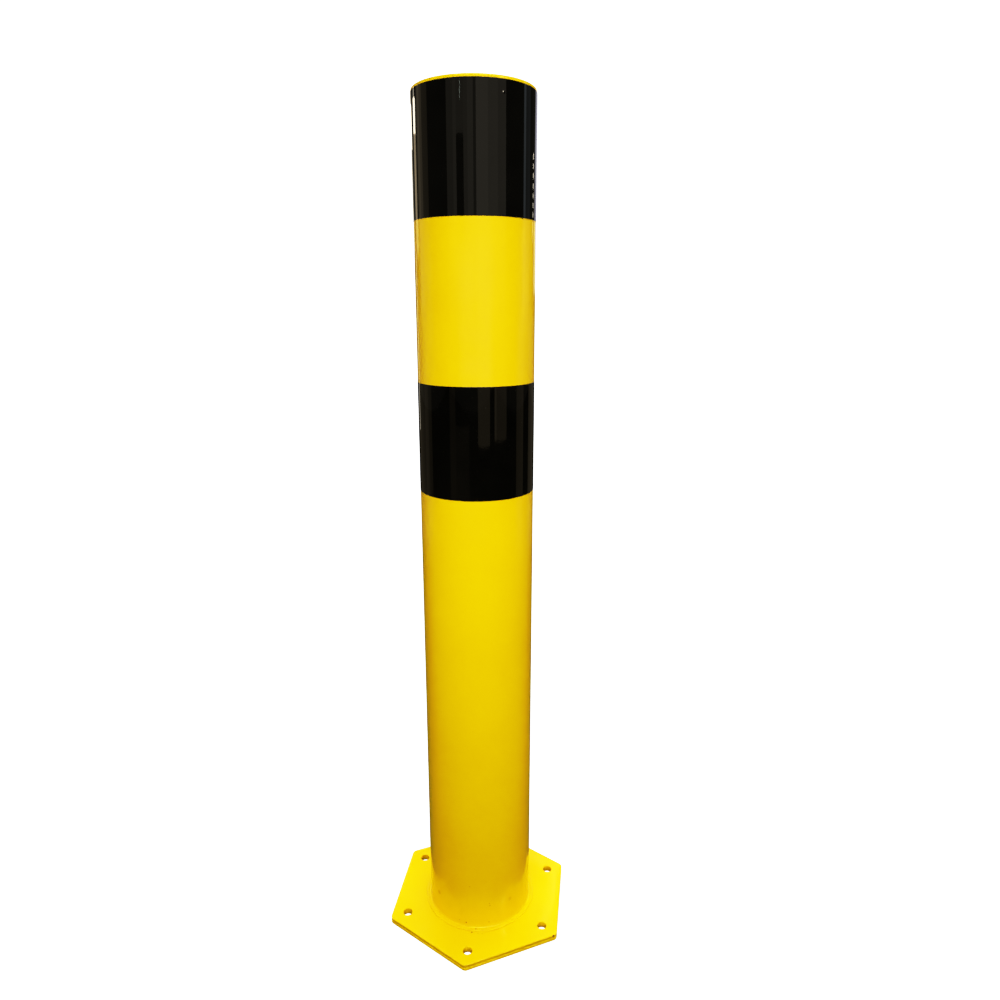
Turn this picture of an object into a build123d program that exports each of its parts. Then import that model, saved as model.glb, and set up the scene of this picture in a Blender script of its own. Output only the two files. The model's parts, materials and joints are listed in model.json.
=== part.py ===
from build123d import *
import os

# Steel safety bollard: a round post, welded to a hexagonal base plate that is bolted to a floor.
# Millimetres, +Z up. The origin is at the middle of the plate's underside, and a corner of the
# plate points along -Y.

# Overall
total_height = 1200

# Base plate
plate_across_flats = 260
plate_thickness = 10
plate_corner_radius = 8
plate_edge_rounding = 1
anchor_count = 6
anchor_circle = 245
anchor_hole = 14
hole_edge_rounding = 0.5
corner_direction = -90

# Tube and cap
tube_diameter = 159
tube_wall = 4.5
cap_thickness = 5
cap_edge_rounding = 2.5

# Welds
base_weld_leg = 7
base_weld_bulge = 0.4
groove_depth = 2
groove_half_height = 1.5

# Black film bands
film_thickness = 0.3
upper_band_top = 1196
upper_band_height = 151
lower_band_top = 840
lower_band_height = 150

tube_radius = tube_diameter / 2
bore_radius = tube_radius - tube_wall
tube_top = total_height - cap_thickness

os.makedirs("parts", exist_ok=True)


def film_band(name, top, height):
    """A ring of film around the tube, of the given height, with its upper edge at top."""
    with BuildPart() as band:
        with BuildSketch(Plane.XY.offset(top - height)):
            Circle(tube_radius + film_thickness)
            Circle(tube_radius, mode=Mode.SUBTRACT)
        extrude(amount=height)
    band.part.label = name
    export_step(band.part, f"parts/{name}.step")


# Hexagonal plate with one anchor hole near each corner
with BuildPart() as base_plate:
    with BuildSketch(Plane.XY) as plate_outline:
        RegularPolygon(
            plate_across_flats / 2, anchor_count, major_radius=False, rotation=corner_direction
        )
        fillet(plate_outline.vertices(), plate_corner_radius)
    extrude(amount=plate_thickness)
    fillet(base_plate.faces().filter_by(Axis.Z).edges(), plate_edge_rounding)
    with Locations(Plane.XY.offset(plate_thickness)):
        with PolarLocations(anchor_circle / 2, anchor_count, start_angle=corner_direction):
            Hole(anchor_hole / 2)
    fillet(base_plate.edges(Select.LAST).filter_by(GeomType.CIRCLE), hole_edge_rounding)
base_plate.part.label = "base_plate"
export_step(base_plate.part, "parts/base_plate.step")

# Tube, with its upper outside edge bevelled for the cap's weld
with BuildPart() as tube:
    with BuildSketch(Plane.XZ):
        with BuildLine():
            Polyline(
                (bore_radius, plate_thickness),
                (tube_radius, plate_thickness),
                (tube_radius, tube_top - groove_half_height),
                (tube_radius - groove_depth, tube_top),
                (bore_radius, tube_top),
                close=True,
            )
        make_face()
    revolve(axis=Axis.Z)
tube.part.label = "tube"
export_step(tube.part, "parts/tube.step")

# Cap, a disc as wide as the tube, with a rounded upper edge and the other half of the weld groove
with BuildPart() as top_cap:
    with BuildSketch(Plane.XY.offset(tube_top)):
        Circle(tube_radius)
    extrude(amount=cap_thickness)
    fillet(top_cap.edges().group_by(Axis.Z)[-1], cap_edge_rounding)
    cap_lower_edge = top_cap.edges().group_by(Axis.Z)[0]
    chamfer(cap_lower_edge, groove_half_height, groove_depth)
top_cap.part.label = "top_cap"
export_step(top_cap.part, "parts/top_cap.step")

# Fillet weld around the tube's foot, slightly crowned
with BuildPart() as base_weld:
    weld_inside = (tube_radius, plate_thickness)
    weld_toe = (tube_radius + base_weld_leg, plate_thickness)
    weld_top = (tube_radius, plate_thickness + base_weld_leg)
    with BuildSketch(Plane.XZ):
        with BuildLine():
            Line(weld_inside, weld_toe)
            SagittaArc(weld_toe, weld_top, -base_weld_bulge)
            Line(weld_top, weld_inside)
        make_face()
    revolve(axis=Axis.Z)
base_weld.part.label = "base_weld"
export_step(base_weld.part, "parts/base_weld.step")

# Groove weld between the tube and the cap, ground flush with both
with BuildPart() as cap_weld:
    with BuildSketch(Plane.XZ):
        with BuildLine():
            Polyline(
                (tube_radius, tube_top - groove_half_height),
                (tube_radius, tube_top + groove_half_height),
                (tube_radius - groove_depth, tube_top),
                close=True,
            )
        make_face()
    revolve(axis=Axis.Z)
cap_weld.part.label = "cap_weld"
export_step(cap_weld.part, "parts/cap_weld.step")

film_band("upper_black_band", upper_band_top, upper_band_height)
film_band("lower_black_band", lower_band_top, lower_band_height)
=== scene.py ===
import json
import math

import bmesh
import bpy
from mathutils import Matrix, Vector, noise

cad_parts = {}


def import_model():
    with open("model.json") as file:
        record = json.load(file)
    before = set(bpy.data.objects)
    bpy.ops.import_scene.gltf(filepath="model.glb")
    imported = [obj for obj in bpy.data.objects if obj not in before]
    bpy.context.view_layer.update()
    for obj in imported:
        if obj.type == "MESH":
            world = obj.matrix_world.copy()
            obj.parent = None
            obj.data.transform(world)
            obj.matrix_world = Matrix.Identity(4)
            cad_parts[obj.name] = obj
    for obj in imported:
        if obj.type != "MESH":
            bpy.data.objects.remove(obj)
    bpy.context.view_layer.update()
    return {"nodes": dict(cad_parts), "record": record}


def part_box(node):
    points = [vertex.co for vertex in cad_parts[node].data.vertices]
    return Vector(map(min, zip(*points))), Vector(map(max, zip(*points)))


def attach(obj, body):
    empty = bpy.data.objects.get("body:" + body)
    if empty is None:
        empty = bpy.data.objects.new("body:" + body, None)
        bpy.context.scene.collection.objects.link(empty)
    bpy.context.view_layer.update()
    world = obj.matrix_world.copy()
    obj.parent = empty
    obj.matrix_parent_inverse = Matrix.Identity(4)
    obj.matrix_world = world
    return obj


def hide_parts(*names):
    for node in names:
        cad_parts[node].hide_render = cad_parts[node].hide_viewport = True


# Steel safety bollard: coated steel post on a hexagonal plate, with two black film bands.
# Metres, in the CAD model's frame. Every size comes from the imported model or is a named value.

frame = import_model()
MM = 0.001


# ---------------------------------------------------------------- sizes, read from the frame

def radii(node):
    """Smallest and largest distance of a round CAD node's surface from the post's axis."""
    distances = [math.hypot(v.co.x, v.co.y) for v in frame["nodes"][node].data.vertices]
    return min(distances), max(distances)


plate_low, plate_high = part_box("base_plate")
tube_low, tube_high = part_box("tube")
cap_low, cap_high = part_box("top_cap")
weld_low, weld_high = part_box("base_weld")
groove_low, groove_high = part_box("cap_weld")

bore_radius, tube_radius = radii("tube")
weld_toe_radius = radii("base_weld")[1]
groove_root_radius = radii("cap_weld")[0]
band_radius = radii("upper_black_band")[1]
film = band_radius - tube_radius

anchors = next(m for m in frame["record"]["mounts"] if m["name"] == "anchor_holes")["dims"]
anchor_count = anchors["count"]
anchor_circle = anchors["pcd_mm"] * MM / 2
anchor_radius = anchors["hole_r_mm"] * MM

apothem = plate_high.x
COS_30 = math.cos(math.radians(30))
# The corner radius follows from how far a corner stops short of where the flats would meet.
corner_rounding = (apothem / COS_30 - plate_high.y) / (1 / COS_30 - 1)
plate_top = plate_high.z

# The camera stands in front of the plate's corner at -Y, a little to its right. The side that
# faces it is called the post's front, and FRONT is the direction of that side.
CAMERA_TURN = math.radians(9.16)
FRONT = CAMERA_TURN - math.pi / 2


# ---------------------------------------------------------------- mesh helpers

SHARP_ANGLE = math.radians(35)
# The tube's waviness: depth, and how fast it changes round the tube and per metre along it
WAVE_DEPTH = 0.04 * MM
WAVES_ROUND = 1.6
WAVES_ALONG = 9


def smooth(mesh):
    """Shades a mesh smooth, apart from its sharp edges."""
    mesh.shade_smooth()
    mesh.set_sharp_from_angle(angle=SHARP_ANGLE)


def add_piece(name, verts, faces, material, nodes):
    """Makes a shaded piece from points and faces, and ties it to the frame."""
    mesh = bpy.data.meshes.new(name)
    mesh.from_pydata(verts, [], faces)
    work = bmesh.new()
    work.from_mesh(mesh)
    bmesh.ops.recalc_face_normals(work, faces=work.faces)
    work.to_mesh(mesh)
    work.free()
    smooth(mesh)
    piece = bpy.data.objects.new(name, mesh)
    bpy.context.scene.collection.objects.link(piece)
    mesh.materials.append(material)
    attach(piece, "root")
    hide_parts(*nodes)
    return piece


def around(radius, angle, height):
    return (radius * math.cos(angle), radius * math.sin(angle), height)


def steps(start, end, count):
    """Evenly spaced values from start to end, both included."""
    return [start + (end - start) * i / (count - 1) for i in range(count)]


def arc_points(centre, radius, first, last, count):
    """Points of an arc in the radius-height plane, from angle first to last in degrees."""
    return [
        (centre[0] + radius * math.cos(math.radians(a)), centre[1] + radius * math.sin(math.radians(a)))
        for a in steps(first, last, count)
    ]


def ring_faces(rows, columns, close_rows=True, close_columns=True):
    """Quads between successive rows of points."""
    faces = []
    for i in range(rows if close_rows else rows - 1):
        for j in range(columns if close_columns else columns - 1):
            a, b = i * columns, (i + 1) % rows * columns
            faces.append((a + j, a + (j + 1) % columns, b + (j + 1) % columns, b + j))
    return faces


def lathe(profile, segments, shape=None):
    """Points and faces of a closed radius-height profile turned round the axis.

    shape(angle, radius, height) gives the point's own radius and height."""
    verts = []
    for s in range(segments):
        angle = math.tau * s / segments
        for radius, height in profile:
            if shape:
                radius, height = shape(angle, radius, height)
            verts.append(around(radius, angle, height))
    return verts, ring_faces(segments, len(profile))


def wave(angle, height):
    """Slow waviness of the drawn tube's outside, which the film follows."""
    x, y = math.cos(angle) * WAVES_ROUND, math.sin(angle) * WAVES_ROUND
    return WAVE_DEPTH * noise.noise(Vector((x, y, height * WAVES_ALONG)))


# ---------------------------------------------------------------- materials

def add(tree, kind, inputs=None, **settings):
    """Adds a shader node; an input is either a value or the output socket that feeds it."""
    node = tree.nodes.new("ShaderNode" + kind)
    for name, value in settings.items():
        setattr(node, name, value)
    for name, value in (inputs or {}).items():
        if isinstance(value, bpy.types.NodeSocket):
            tree.links.new(value, node.inputs[name])
        else:
            node.inputs[name].default_value = value
    return node


def new_material(name):
    """An empty node material, its tree, its object-space coordinates and its output."""
    material = bpy.data.materials.new(name)
    material.use_nodes = True
    tree = material.node_tree
    tree.nodes.clear()
    place = add(tree, "TexCoord").outputs["Object"]
    output = add(tree, "OutputMaterial")
    return material, tree, place, output


def speckle(tree, place, scale, low, high, detail=2.0):
    """Noise of the given scale, as a value from low to high."""
    texture = add(tree, "TexNoise", {"Vector": place, "Scale": scale, "Detail": detail})
    spread = {
        "Value": texture.outputs["Fac"],
        "From Min": 0.3,
        "From Max": 0.7,
        "To Min": low,
        "To Max": high,
    }
    return add(tree, "MapRange", spread).outputs["Result"]


def blend_colours(tree, factor, first, second):
    """The first colour, turning into the second as factor goes from nought to one."""
    mix = add(tree, "Mix", data_type="RGBA")
    for index, value in ((0, factor), (6, first), (7, second)):
        if isinstance(value, bpy.types.NodeSocket):
            tree.links.new(value, mix.inputs[index])
        else:
            mix.inputs[index].default_value = value
    return mix.outputs[2]


def mix_shaders(tree, factor, first, second):
    """A node that turns from the first node's shader to the second's as factor goes to one."""
    return add(tree, "MixShader", {"Fac": factor, 1: first.outputs[0], 2: second.outputs[0]})


def peel(tree, place, height):
    """Orange peel: shallow rounded waves about 2.5 mm apart, as a bump of the given height."""
    waves = add(tree, "TexNoise", {"Vector": place, "Scale": 400.0, "Detail": 1.5})
    inputs = {"Strength": 1.0, "Distance": height, "Height": waves.outputs["Fac"]}
    return add(tree, "Bump", inputs).outputs["Normal"]


def on_tube(turn, height):
    """A point on the tube, turned from the post's front by degrees, at a height in millimetres."""
    return around(tube_radius, FRONT + math.radians(turn), height * MM)


def on_plate(x, y):
    """A point on the plate's top, from its place in millimetres."""
    return (x * MM, y * MM, plate_top)


def on_weld(turn):
    """A point near the base weld's face, turned from the post's front by degrees."""
    radius = (tube_radius + weld_toe_radius) / 2
    height = 0.65 * weld_low.z + 0.35 * weld_high.z
    return around(radius, FRONT + math.radians(turn), height)


# Small marks in the coat: place, radius in millimetres, how dark.
SPECKS = [
    (on_tube(-15.9, 18.2), 1.5, 0.75),
    (on_tube(-23.9, 19.9), 1.2, 0.35),
    (on_tube(10.7, 50.0), 1.5, 0.35),
    (on_tube(10.2, 54.0), 1.3, 0.3),
    (on_tube(9.6, 20.1), 1.4, 0.35),
    (on_tube(-53.7, 49.0), 4.0, 0.3),
    (on_tube(35.5, 49.7), 4.0, 0.18),
    (on_tube(-11.6, 84.5), 1.6, 0.18),
    (on_weld(-9.8), 1.4, 0.4),
    (on_weld(-5.2), 1.8, 0.75),
    (on_weld(-4.0), 1.6, 0.6),
    (on_weld(-1.5), 1.3, 0.4),
    (on_weld(12.0), 1.2, 0.3),
    (on_plate(0.8, -88.2), 1.8, 0.7),
    (on_plate(10.5, -89.0), 1.2, 0.3),
    (on_plate(17.0, -88.5), 1.2, 0.25),
]
CORNER_CHIP = Vector((125.5, -78.5, 8.6)) * MM
CHIP_RADIUS = 2.4 * MM


def marked(tree, place, centre, radius, strength):
    """As much as strength inside a small ragged spot round centre, and nought outside it."""
    ragged = add(tree, "TexNoise", {"Vector": place, "Scale": 900.0, "Detail": 3.0})
    offset = add(
        tree, "VectorMath", {0: ragged.outputs["Color"], 1: (0.5, 0.5, 0.5)}, operation="SUBTRACT"
    )
    pull = add(tree, "VectorMath", {0: offset.outputs[0], "Scale": radius * 1.4}, operation="SCALE")
    moved = add(tree, "VectorMath", {0: place, 1: pull.outputs[0]}, operation="ADD")
    away = add(tree, "VectorMath", {0: moved.outputs[0], 1: centre}, operation="DISTANCE")
    inside = {
        "Value": away.outputs["Value"],
        "From Min": radius * 1.1,
        "From Max": radius * 0.5,
        "To Max": strength,
    }
    return add(tree, "MapRange", inside, interpolation_type="SMOOTHSTEP").outputs["Result"]


def yellow_coat():
    """Glossy signal-yellow powder coat on steel."""
    material, tree, place, output = new_material("yellow_powder_coat")
    patches = speckle(tree, place, 9.0, 0.0, 1.0)
    colour = blend_colours(tree, patches, (0.81, 0.555, 0.0001, 1), (0.85, 0.590, 0.0002, 1))
    grain = speckle(tree, place, 700.0, 0.0, 0.22, detail=3.0)
    colour = blend_colours(tree, grain, colour, (0.72, 0.47, 0.0001, 1))
    for centre, radius, strength in SPECKS:
        spot = marked(tree, place, centre, radius * MM, strength)
        colour = blend_colours(tree, spot, colour, (0.34, 0.15, 0.003, 1))
    chip = marked(tree, place, CORNER_CHIP, CHIP_RADIUS, 1.0)
    colour = blend_colours(tree, chip, colour, (0.14, 0.03, 0.008, 1))
    rough = speckle(tree, place, 45.0, 0.09, 0.15)
    shader = add(tree, "BsdfPrincipled", {
        "Base Color": colour,
        "Roughness": rough,
        "IOR": 1.5,
        "Specular Tint": (1.0, 0.93, 0.30, 1),
        "Normal": peel(tree, place, 0.035 * MM),
    })
    tree.links.new(shader.outputs["BSDF"], output.inputs["Surface"])
    return material


def black_film():
    """High-gloss black film; the coat's orange peel shows through it faintly."""
    material, tree, place, output = new_material("black_gloss_film")
    patches = speckle(tree, place, 25.0, 0.0, 1.0)
    colour = blend_colours(tree, patches, (0.0010, 0.0010, 0.0008, 1), (0.0018, 0.0017, 0.0014, 1))
    dust = add(tree, "TexNoise", {"Vector": place, "Scale": 1500.0, "Detail": 2.0})
    specks = {"Value": dust.outputs["Fac"], "From Min": 0.76, "From Max": 0.82, "To Max": 0.15}
    dusty = add(tree, "MapRange", specks).outputs["Result"]
    colour = blend_colours(tree, dusty, colour, (0.25, 0.24, 0.20, 1))
    rough = speckle(tree, place, 60.0, 0.02, 0.045)
    shader = add(tree, "BsdfPrincipled", {
        "Base Color": colour,
        "Roughness": rough,
        "IOR": 1.5,
        "Normal": peel(tree, place, 0.006 * MM),
    })
    tree.links.new(shader.outputs["BSDF"], output.inputs["Surface"])
    return material


yellow = yellow_coat()
black = black_film()


# ---------------------------------------------------------------- base plate

ARC_POINTS = 9
EDGE_POINTS = 24
HOLE_POINTS = 64
EDGE_ROUNDING = 1.0 * MM
RIM_ROUNDING = 0.5 * MM
TIGHTEST_CORNER = 0.5 * MM
# The shears draw the lower edge in by ROLL_INSET of the rounding, and the upper edge's rounding
# lies lower than the top by EDGE_DROP.
ROLL_INSET = 0.35
EDGE_DROP = 0.25 * MM
# The sheared edge has a lower land, a narrow ledge that catches the light, and an upper land that
# leans outwards: inset in millimetres, and height as a share of the plate's thickness.
SHEAR = [(0, 0.12), (0, 0.33), (0.10, 0.37), (0.50, 0.41), (0.65, 0.45), (0.65, 0.50), (0.30, 0.70)]
# The top rolls over towards the edge. Beside that the coat is a little thicker, as it is round
# the holes: inset or distance from the hole's wall, and rise above the top, in millimetres.
TOP_ROLL = [
    (1.6, -0.13), (2.2, -0.03), (2.9, 0.04), (3.8, 0.08),
    (4.8, 0.08), (5.6, 0.04), (6.2, 0), (8, 0),
]
HOLE_LIP = [(2.2, 0), (1.6, 0.04), (1.0, 0.05), (0.6, 0.02)]


def hexagon(inset, height):
    """The plate's rounded outline, moved in by inset."""
    rounding = max(corner_rounding - inset, TIGHTEST_CORNER)
    centre = (apothem - inset - rounding) / COS_30
    outline = []
    for corner in range(6):
        toward = math.radians(-90 + 60 * corner)
        arc = [
            Vector((centre * math.cos(toward) + rounding * math.cos(toward + a),
                    centre * math.sin(toward) + rounding * math.sin(toward + a), height))
            for a in steps(math.radians(-30), math.radians(30), ARC_POINTS)
        ]
        outline.append(arc)
    points = []
    for corner, arc in enumerate(outline):
        following = outline[(corner + 1) % 6][0]
        points += arc
        points += [arc[-1].lerp(following, t) for t in steps(0, 1, EDGE_POINTS)[1:-1]]
    return points


def plate_edge():
    """The plate's edge from its underside to its top, as points of inset and height."""
    roll = plate_top * SHEAR[0][1] / EDGE_ROUNDING
    under = [
        (ROLL_INSET * (EDGE_ROUNDING - r), roll * (EDGE_ROUNDING - h))
        for r, h in arc_points((0, 0), EDGE_ROUNDING, 0, 90, 7)
    ]
    side = [(inset * MM, plate_top * level) for inset, level in SHEAR[1:]]
    upper = [
        (EDGE_ROUNDING - r, plate_top - EDGE_ROUNDING - EDGE_DROP + h)
        for r, h in arc_points((0, 0), EDGE_ROUNDING, 0, 75, 7)
    ]
    top = [(inset * MM, plate_top + rise * MM) for inset, rise in TOP_ROLL]
    return under[::-1] + side + upper + top


def hole_wall():
    """An anchor hole from the plate's top to its underside, as points of extra radius and height."""
    lip = [(r * MM, plate_top + h * MM) for r, h in HOLE_LIP]
    upper = [
        (RIM_ROUNDING - r, plate_top - RIM_ROUNDING + h)
        for r, h in arc_points((0, 0), RIM_ROUNDING, 90, 0, 5)
    ]
    lower = [
        (RIM_ROUNDING - r, RIM_ROUNDING - h)
        for r, h in arc_points((0, 0), RIM_ROUNDING, 0, 90, 5)
    ]
    return lip + upper + [(0, plate_top / 2)] + lower


def fill_faces(mesh, face_loops):
    """Fills each flat face, between the loop of points at its outline and those at its holes."""
    work = bmesh.new()
    work.from_mesh(mesh)
    work.verts.ensure_lookup_table()
    for loops in face_loops:
        edges = [
            work.edges.get((work.verts[a], work.verts[b]))
            for loop in loops
            for a, b in zip(loop, loop[1:] + loop[:1])
        ]
        bmesh.ops.triangle_fill(work, use_beauty=True, use_dissolve=False, edges=edges)
    bmesh.ops.recalc_face_normals(work, faces=work.faces)
    work.to_mesh(mesh)
    work.free()
    smooth(mesh)


def base_plate():
    """The plate with its worked edge and its anchor holes."""
    profile = plate_edge()
    verts = []
    for inset, height in profile:
        verts += hexagon(inset, height)
    count = len(hexagon(0, 0))
    faces = ring_faces(len(profile), count, close_rows=False)
    lower_loops = [list(range(count))]
    upper_loops = [list(range(len(verts) - count, len(verts)))]

    wall = hole_wall()
    for hole in range(anchor_count):
        toward = math.radians(-90 + 360 / anchor_count * hole)
        x, y = anchor_circle * math.cos(toward), anchor_circle * math.sin(toward)
        start = len(verts)
        for extra, height in wall:
            for i in range(HOLE_POINTS):
                px, py, pz = around(anchor_radius + extra, math.tau * i / HOLE_POINTS, height)
                verts.append((x + px, y + py, pz))
        faces += [
            tuple(start + v for v in face)
            for face in ring_faces(len(wall), HOLE_POINTS, close_rows=False)
        ]
        upper_loops.append(list(range(start, start + HOLE_POINTS)))
        lower_loops.append(list(range(len(verts) - HOLE_POINTS, len(verts))))
    piece = add_piece("base_plate_coated", verts, faces, yellow, ["base_plate"])
    fill_faces(piece.data, (upper_loops, lower_loops))


base_plate()


# ---------------------------------------------------------------- tube

TUBE_SEGMENTS = 240


def tube():
    """The tube, slightly wavy outside, with its upper edge bevelled for the cap's weld."""
    outside = [(tube_radius, h) for h in steps(tube_low.z, groove_low.z, 200)]
    inside = [(bore_radius, h) for h in steps(tube_high.z, tube_low.z, 12)]
    profile = outside + [(groove_root_radius, tube_high.z)] + inside

    def shape(angle, radius, height):
        is_outside = radius == tube_radius
        return (radius + wave(angle, height) if is_outside else radius), height

    verts, faces = lathe(profile, TUBE_SEGMENTS, shape)
    add_piece("tube_coated", verts, faces, yellow, ["tube"])


tube()


# ---------------------------------------------------------------- cap

CAP_ROUNDING = 2.5 * MM
# The triangles at the middle of the cap's faces reach this far out.
CAP_MIDDLE = 10 * MM


def cap():
    """The cap: rings of quads from its rounded edge inwards, closed by triangles at the middle."""
    top = cap_high.z
    flat = tube_radius - CAP_ROUNDING
    profile = [(r, cap_low.z) for r in steps(CAP_MIDDLE, groove_root_radius, 4)]
    profile += [(tube_radius, groove_high.z)]
    profile += arc_points((flat, top - CAP_ROUNDING), CAP_ROUNDING, 0, 90, 9)
    profile += [(r, top) for r in steps(flat - 2 * MM, CAP_MIDDLE, 16)]
    verts = []
    for s in range(TUBE_SEGMENTS):
        angle = math.tau * s / TUBE_SEGMENTS
        verts += [around(r, angle, h) for r, h in profile]
    columns = len(profile)
    faces = ring_faces(TUBE_SEGMENTS, columns, close_columns=False)
    low_middle, top_middle = len(verts), len(verts) + 1
    verts += [(0, 0, cap_low.z), (0, 0, top)]
    for s in range(TUBE_SEGMENTS):
        here, there = s * columns, (s + 1) % TUBE_SEGMENTS * columns
        faces.append((here, there, low_middle))
        faces.append((here + columns - 1, there + columns - 1, top_middle))
    add_piece("top_cap_coated", verts, faces, yellow, ["top_cap"])


cap()


# ---------------------------------------------------------------- welds

# Where the bead starts and stops: direction in degrees, reach along the bead, share of extra size.
WELD_STOPS = [(-6.7, 5.0 * MM, 0.18), (187.0, 4.0 * MM, 0.10), (64.0, 5.0 * MM, 0.14)]
BEAD_SEGMENTS = 1080
RIPPLE_PITCH = 3.2 * MM
RIPPLE_HEIGHT = 0.05 * MM
# The bead's size varies round the post: how fast, share of its size
BEAD_SWELLS = [(5, 0.07), (18, 0.05)]
# The bead's two edges on the tube lie this far inside it.
BURIED = 0.1 * MM
# The bead's section from toe to top, in millimetres: distance from the tube, height. It is low
# and flat, with a rounded toe, and its upper part hugs the tube.
WELD_SECTION = [
    (6.75, 0.0), (6.9, 0.5), (6.9, 1.0), (6.7, 1.4), (6.2, 1.62), (5.0, 1.65), (3.6, 1.55),
    (2.4, 1.45), (1.2, 1.5), (0.55, 1.9), (0.3, 2.6), (0.2, 3.6), (0.12, 5.0),
]


def base_weld():
    """A fillet bead with ripples, a flat rolled toe, and lumps where the welder restarted."""
    verts = []
    for s in range(BEAD_SEGMENTS):
        angle = math.tau * s / BEAD_SEGMENTS
        around_post = Vector((math.cos(angle), math.sin(angle), 0))
        swell = 1
        for scale, share in BEAD_SWELLS:
            swell += share * noise.noise(scale * around_post)
        for direction, reach, extra in WELD_STOPS:
            away = (angle - math.radians(direction) + math.pi) % math.tau - math.pi
            swell += extra * math.exp(-(away * tube_radius / reach) ** 2)
        ripple = RIPPLE_HEIGHT * math.sin(math.tau * angle * tube_radius / RIPPLE_PITCH)
        verts.append(around(tube_radius - BURIED, angle, weld_low.z))
        for out, up in WELD_SECTION:
            bulge = ripple if 0 < up < WELD_SECTION[-1][1] else 0
            out, up = out * swell * MM + bulge, up * swell * MM + bulge
            verts.append(around(tube_radius + out, angle, weld_low.z + up))
        top = weld_low.z + (WELD_SECTION[-1][1] * swell + 0.3) * MM
        verts.append(around(tube_radius - BURIED, angle, top))
    faces = ring_faces(BEAD_SEGMENTS, len(WELD_SECTION) + 2)
    add_piece("base_weld_bead", verts, faces, yellow, ["base_weld"])


base_weld()


GROOVE_SEGMENTS = 480


def cap_weld():
    """The groove weld, ground flush with the tube."""
    rows = steps(groove_low.z, groove_high.z, 6)
    profile = [(tube_radius, h) for h in rows] + [(groove_root_radius, cap_low.z)]
    verts, faces = lathe(profile, GROOVE_SEGMENTS)
    add_piece("cap_weld_ground", verts, faces, yellow, ["cap_weld"])


cap_weld()


# ---------------------------------------------------------------- film bands

FILM_SEGMENTS = 300
FILM_ROWS = 48
FILM_BEVEL = 0.1 * MM
SEAM_OVERLAP = 12 * MM
FEATHER = 0.3 * MM
# The bubble: degrees from the post's front, height, width, rise
BUBBLE = (25.5, 1181.1 * MM, 1.4 * MM, 0.17 * MM)
# The burr: degrees from the post's front, width, how far it hangs below the film's lower edge
BURR = (47.4, 1.0 * MM, 1.3 * MM)


def bell(distance, width):
    """A smooth bump, one at no distance and nought beyond three times the width."""
    return math.exp(-(distance / width) ** 2) if abs(distance) < 3 * width else 0.0


def refine(values, centre, reach, count):
    """Adds closely spaced values round centre to a list of evenly spaced ones."""
    return sorted(set(values) | set(steps(centre - reach, centre + reach, count)))


def film_band(name, node, seam_turn, bubble=None, burr=None):
    """Film wrapped once round the tube, its end lapped over its start at the back.

    seam_turn is where the upper end stops, in degrees from the post's front."""
    low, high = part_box(node)
    seam = FRONT + math.radians(seam_turn)
    lap = SEAM_OVERLAP / band_radius
    heights = steps(low.z + FILM_BEVEL, high.z - FILM_BEVEL, FILM_ROWS)
    turns = [math.tau * i / FILM_SEGMENTS for i in range(FILM_SEGMENTS)]
    for edge in (seam, seam + lap):
        turns = refine(turns, edge % math.tau, 1.5 * FEATHER / band_radius, 7)
    if bubble:
        turn, bubble_height, width, rise = bubble
        bubble_angle = FRONT + math.radians(turn)
        turns = refine(turns, bubble_angle % math.tau, 3 * width / band_radius, 25)
        heights = refine(heights, bubble_height, 3 * width, 25)
    if burr:
        burr_angle = FRONT + math.radians(burr[0])
        turns = refine(turns, burr_angle % math.tau, 3 * burr[1] / band_radius, 13)
    profile = [(0, low.z), (film - FILM_BEVEL, low.z)] + [(film, h) for h in heights]
    profile += [(film - FILM_BEVEL, high.z), (0, high.z)]
    verts = []
    for angle in turns:
        past_seam = (angle - seam + math.pi) % math.tau - math.pi
        inside_lap = min(past_seam, lap - past_seam) * band_radius
        lift = film * min(max(0.5 + inside_lap / FEATHER, 0), 1)
        for r, h in profile:
            raised = r + (lift if r else 0)
            if bubble and r == film:
                across = (angle - bubble_angle + math.pi) % math.tau - math.pi
                raised += rise * bell(math.hypot(across * band_radius, h - bubble_height), width)
            if burr and h < low.z + 2 * FILM_BEVEL:
                across = ((angle - burr_angle + math.pi) % math.tau - math.pi) * band_radius
                h -= burr[2] * bell(across, burr[1])
            verts.append(around(tube_radius + raised + wave(angle, h), angle, h))
    faces = ring_faces(len(turns), len(profile))
    add_piece(name, verts, faces, black, [node])


film_band("upper_film_band", "upper_black_band", 163, BUBBLE, BURR)
film_band("lower_film_band", "lower_black_band", 171)


# ---------------------------------------------------------------- camera

def camera():
    """In front of the post and lower than its cap, looking down and a little past its axis."""
    yaw = CAMERA_TURN - 0.0313
    pitch = 0.2525
    distance = 1.0446
    height = 0.941
    right = Vector((math.cos(yaw), math.sin(yaw), 0))
    level = math.cos(pitch)
    ahead = Vector((-math.sin(yaw) * level, math.cos(yaw) * level, -math.sin(pitch)))
    up = right.cross(ahead)
    lens = bpy.data.cameras.new("camera")
    lens.sensor_width = 36
    lens.lens = 27.216
    eye = bpy.data.objects.new("camera", lens)
    bpy.context.scene.collection.objects.link(eye)
    pose = Matrix((right, up, -ahead)).transposed().to_4x4()
    pose.translation = (distance * math.sin(CAMERA_TURN), -distance * math.cos(CAMERA_TURN), height)
    eye.matrix_world = pose
    bpy.context.scene.camera = eye


camera()


# ---------------------------------------------------------------- studio: lamps, floor and backdrop

WARM = (1.0, 0.9, 0.7)
BROWN = (1.0, 0.80, 0.50)
BLUISH = (0.80, 0.92, 1.0)


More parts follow.
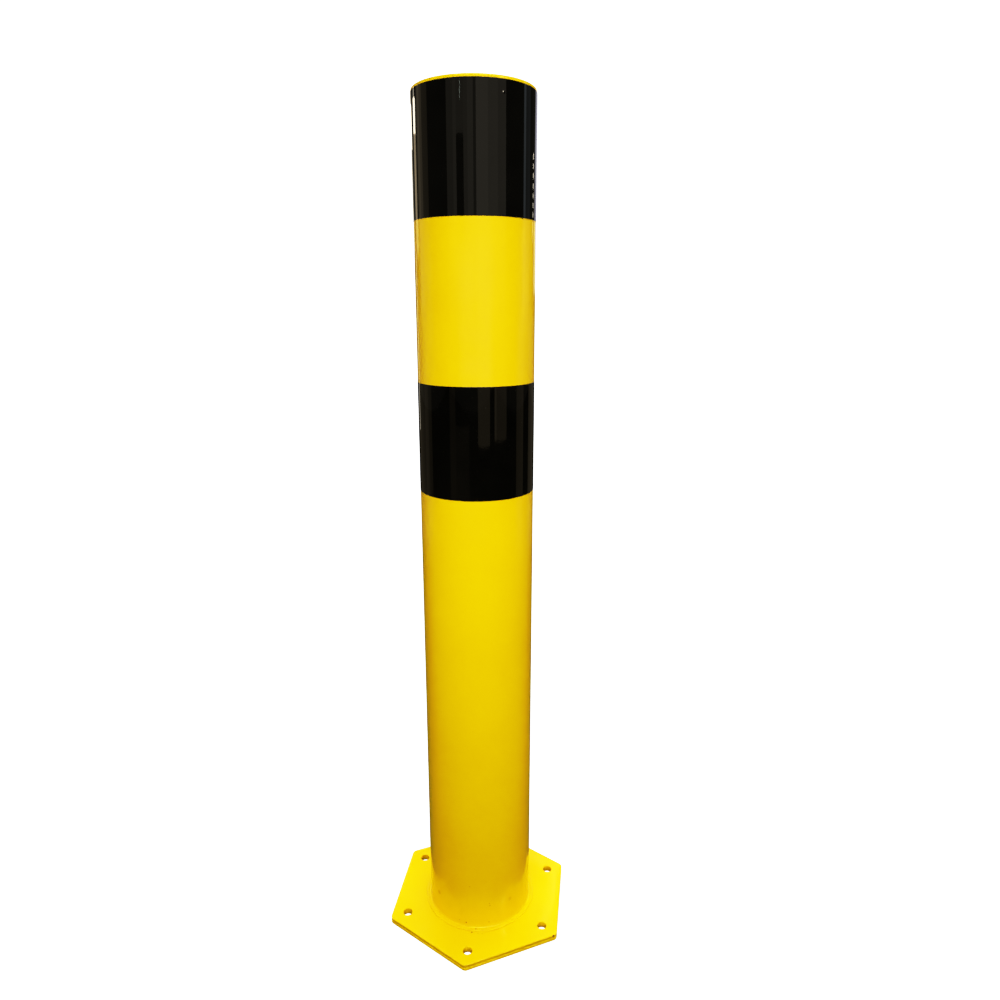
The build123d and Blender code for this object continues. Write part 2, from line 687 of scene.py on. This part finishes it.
def lamp(
    name, place, target, width, height, radiance, colour=WARM, mirrored=True, lights=True
):
    """A rectangular soft lamp that shines from place towards target.

    One that isn't mirrored lights the post without showing as a patch in its gloss, and one
    that doesn't light it shows in its gloss alone."""
    light = bpy.data.lights.new(name, "AREA")
    light.shape = "RECTANGLE"
    light.size = width
    light.size_y = height
    light.energy = radiance * math.pi * width * height
    light.color = colour
    holder = bpy.data.objects.new(name, light)
    bpy.context.scene.collection.objects.link(holder)
    direction = Vector(target) - Vector(place)
    aim = direction.to_track_quat("-Z", "Y").to_matrix().to_4x4()
    holder.matrix_world = Matrix.Translation(place) @ aim
    holder.visible_glossy = mirrored
    holder.visible_diffuse = lights


def softbox(
    name, turn, distance, height, target_height, size, radiance, colour=WARM, mirrored=False
):
    """A softbox turned round the post from its front, aimed at a height on the post's axis."""
    place = around(distance, FRONT + math.radians(turn), height)
    lamp(name, place, (0, 0, target_height), *size, radiance, colour, mirrored)


def card(name, first, last, low, high, radiance, colour=WARM, distance=3.0):
    """An upright lit panel between two turns, in degrees from the post's front."""
    middle = FRONT + math.radians((first + last) / 2)
    width = 2 * distance * math.tan(math.radians((last - first) / 2))
    height = (low + high) / 2
    lamp(name, around(distance, middle, height), (0, 0, height), width, high - low, radiance, colour)


softbox("key", 0, 1.2, 0.8, 0.75, (1.4, 0.7), 4.15, (1.0, 0.98, 0.80))
softbox("left_fill", -108, 2.4, 0.7, 0.6, (1.8, 1.4), 2.5, (1.0, 0.94, 0.6))
softbox("right_fill", 108, 2.4, 0.7, 0.6, (1.8, 1.4), 2.7, (1.0, 0.94, 0.6))
softbox("overhead", 8, 0.9, 3.4, 0.0, (2.0, 1.5), 6.2, (1.0, 0.98, 0.8), mirrored=True)
softbox("plate_light", 170, 1.3, 2.2, 0.0, (2.4, 1.6), 4.2, (1.0, 0.98, 0.7))
lamp("sheen", (0.02, 2.3, 1.83), (0.11, 0.09, 0), 0.35, 0.16, 0.9, (1.0, 0.95, 0.8))
lamp("sheen_patch", (0.03, 2.23, 1.98), (0.11, 0.02, 0), 0.14, 0.05, 3.0, (1.0, 0.95, 0.8))
glint_place = around(3.0, FRONT + math.radians(53), 2.5)
lamp("bubble_glint", glint_place, (0, 0, 1.18), 0.6, 0.5, 18.0, lights=False)

# Upright panels, as the upper band mirrors them: turns, lower and upper end, radiance
UPPER = (0.9, 2.2)
card("right_panel", 3, 58, *UPPER, 0.30)
card("right_panel_middle", 3, 42, *UPPER, 0.09)
card("right_panel_left", 3, 24, *UPPER, 0.10)
card("left_panel", -19, -2, *UPPER, 0.23)
card("left_panel_right", -12, -2, *UPPER, 0.08)
card("left_strip", -50, -32, *UPPER, 0.18)
card("left_strip_right", -38, -32, *UPPER, 0.08)
card("left_gap", -32, -19, 1.73, 2.2, 0.20)
card("middle_gap", -2, 3, *UPPER, 0.11)
card("right_strip", 100, 106, *UPPER, 0.40, BLUISH)
card("right_strip_side", 106, 121, *UPPER, 0.07, BLUISH)
card("left_back_panel", -125, -92, *UPPER, 0.12, BROWN)
card("left_back_panel_left", -125, -108, *UPPER, 0.18, BROWN)
card("left_back_panel_line", -120, -116, *UPPER, 0.14, BROWN)
card("bright_strip_top", -141, -131, 1.74, 1.90, 6.0)
card("bright_strip_tip", -139, -135, 1.90, 2.08, 2.0)
card("bright_strip", -141, -131, 1.2, 1.74, 1.3, BROWN)
card("edge_strip_tip", -178, -155, 1.88, 2.05, 0.6)
card("edge_strip_top", -178, -155, 1.68, 1.88, 3.0)
card("edge_strip", -170, -155, 1.2, 1.68, 0.6)
card("right_edge_strip", 146, 165, 1.0, 2.1, 0.8, (0.9, 0.88, 1.0))
# A broken bright line at the band's right edge
for index in range(9):
    rise = 0.045 * index
    card(f"right_glint_{index}", 136.0, 137.2, 1.27 + rise, 1.295 + rise, 8.0)
# A few short glints above each other: height of the middle, length
for height, tall in ((1.881, 0.003), (1.904, 0.008), (1.923, 0.002), (1.943, 0.003)):
    foot = height - tall / 2
    card(f"glint_{int(1000 * height)}", -25.1, -24.5, foot, foot + tall, 22.0, (0.85, 1.0, 0.88))

# Lower panels, as the lower band mirrors them. NEAR is how far off most of them stand.
LOWER = (0.1, 0.9)
NEAR = 1.6
card("low_right_panel", 3, 26, 0.22, 0.9, 0.20, BROWN)
card("low_right_strip", 35, 60, 0.25, 0.9, 0.16, BROWN)
card("low_right_strip_line", 35, 39, 0.25, 0.9, 0.12, BROWN)
card("low_left_strip", -52, -40, *LOWER, 0.06, BROWN, NEAR)
card("low_left_panel", -40, -14, 0.1, 0.55, 0.04, BROWN, NEAR)
card("low_right_back", 83, 103, *LOWER, 0.12, BROWN, NEAR)
card("low_right_edge", 122, 150, *LOWER, 0.10, BROWN, NEAR)
card("low_left_back", -150, -96, *LOWER, 0.07, BROWN, NEAR)
card("low_left_back_line", -118, -106, *LOWER, 0.05, BROWN, NEAR)
card("low_edge_strip", -150, -146, 0.3, 1.2, 1.2)


def world():
    """White where the camera sees it, dim and warm where it lights the post."""
    studio = bpy.data.worlds.new("studio")
    bpy.context.scene.world = studio
    studio.use_nodes = True
    tree = studio.node_tree
    fill = tree.nodes["Background"]
    fill.inputs["Color"].default_value = (*WARM, 1)
    fill.inputs["Strength"].default_value = 0.03
    backdrop = add(tree, "Background", {"Color": (1, 1, 1, 1), "Strength": 1.4})
    path = add(tree, "LightPath")
    by_ray = mix_shaders(tree, path.outputs["Is Camera Ray"], fill, backdrop)
    tree.links.new(by_ray.outputs[0], tree.nodes["World Output"].inputs["Surface"])


world()


def floor_material():
    """Pale and high-key for the camera, dim and warm for the light that it returns to the post.

    It fades out with distance, and it is clear from below, so the underside can be looked at."""
    material, tree, place, output = new_material("studio_floor")
    path = add(tree, "LightPath")
    bounce = add(tree, "BsdfDiffuse", {"Color": (0.085, 0.064, 0.034, 1)})
    mirrored = add(tree, "BsdfDiffuse", {"Color": (0.025, 0.022, 0.016, 1)})
    pale = add(tree, "BsdfDiffuse", {"Color": (0.24, 0.26, 0.33, 1)})
    glow = add(tree, "Emission", {"Color": (1, 1, 1, 1), "Strength": 1.0})
    seen = add(tree, "AddShader", {0: pale.outputs[0], 1: glow.outputs[0]})
    returned = mix_shaders(tree, path.outputs["Is Glossy Ray"], bounce, mirrored)
    by_ray = mix_shaders(tree, path.outputs["Is Camera Ray"], returned, seen)

    distance = add(tree, "VectorMath", {0: place}, operation="LENGTH").outputs["Value"]
    span = {"Value": distance, "From Min": 0.5, "From Max": 2.5}
    fade = add(tree, "MapRange", span, interpolation_type="SMOOTHSTEP").outputs["Result"]
    camera_ray = path.outputs["Is Camera Ray"]
    far = add(tree, "Math", {0: fade, 1: camera_ray}, operation="MULTIPLY").outputs[0]
    behind = add(tree, "NewGeometry").outputs["Backfacing"]
    hidden = add(tree, "Math", {0: far, 1: behind}, operation="MAXIMUM").outputs[0]
    shown = mix_shaders(tree, hidden, by_ray, add(tree, "BsdfTransparent"))
    tree.links.new(shown.outputs[0], output.inputs["Surface"])
    return material


def floor():
    """A square of floor, a hair below the plate, so the two don't touch."""
    size = 6
    corners = [(-size, -size, 0), (size, -size, 0), (size, size, 0), (-size, size, 0)]
    mesh = bpy.data.meshes.new("floor")
    mesh.from_pydata(corners, [], [(0, 1, 2, 3)])
    mesh.materials.append(floor_material())
    ground = bpy.data.objects.new("floor", mesh)
    ground.location.z = plate_low.z - 0.2 * MM
    bpy.context.scene.collection.objects.link(ground)


floor()


def photographic_tones():
    """A gentle S-shaped exposure curve, with a soft shoulder up to white at 1.2."""
    view = bpy.context.scene.view_settings
    view.view_transform = "Standard"
    view.use_curve_mapping = True
    mapping = view.curve_mapping
    # The exposure at the curve's right end
    white = 1.5
    mapping.white_level = (white, white, white)
    combined = mapping.curves[3]
    for exposure, tone in ((0.28, 0.275), (0.42, 0.51), (0.61, 0.735), (0.90, 0.935), (1.2, 1.0)):
        combined.points.new(exposure / white, tone)
    mapping.update()


photographic_tones()
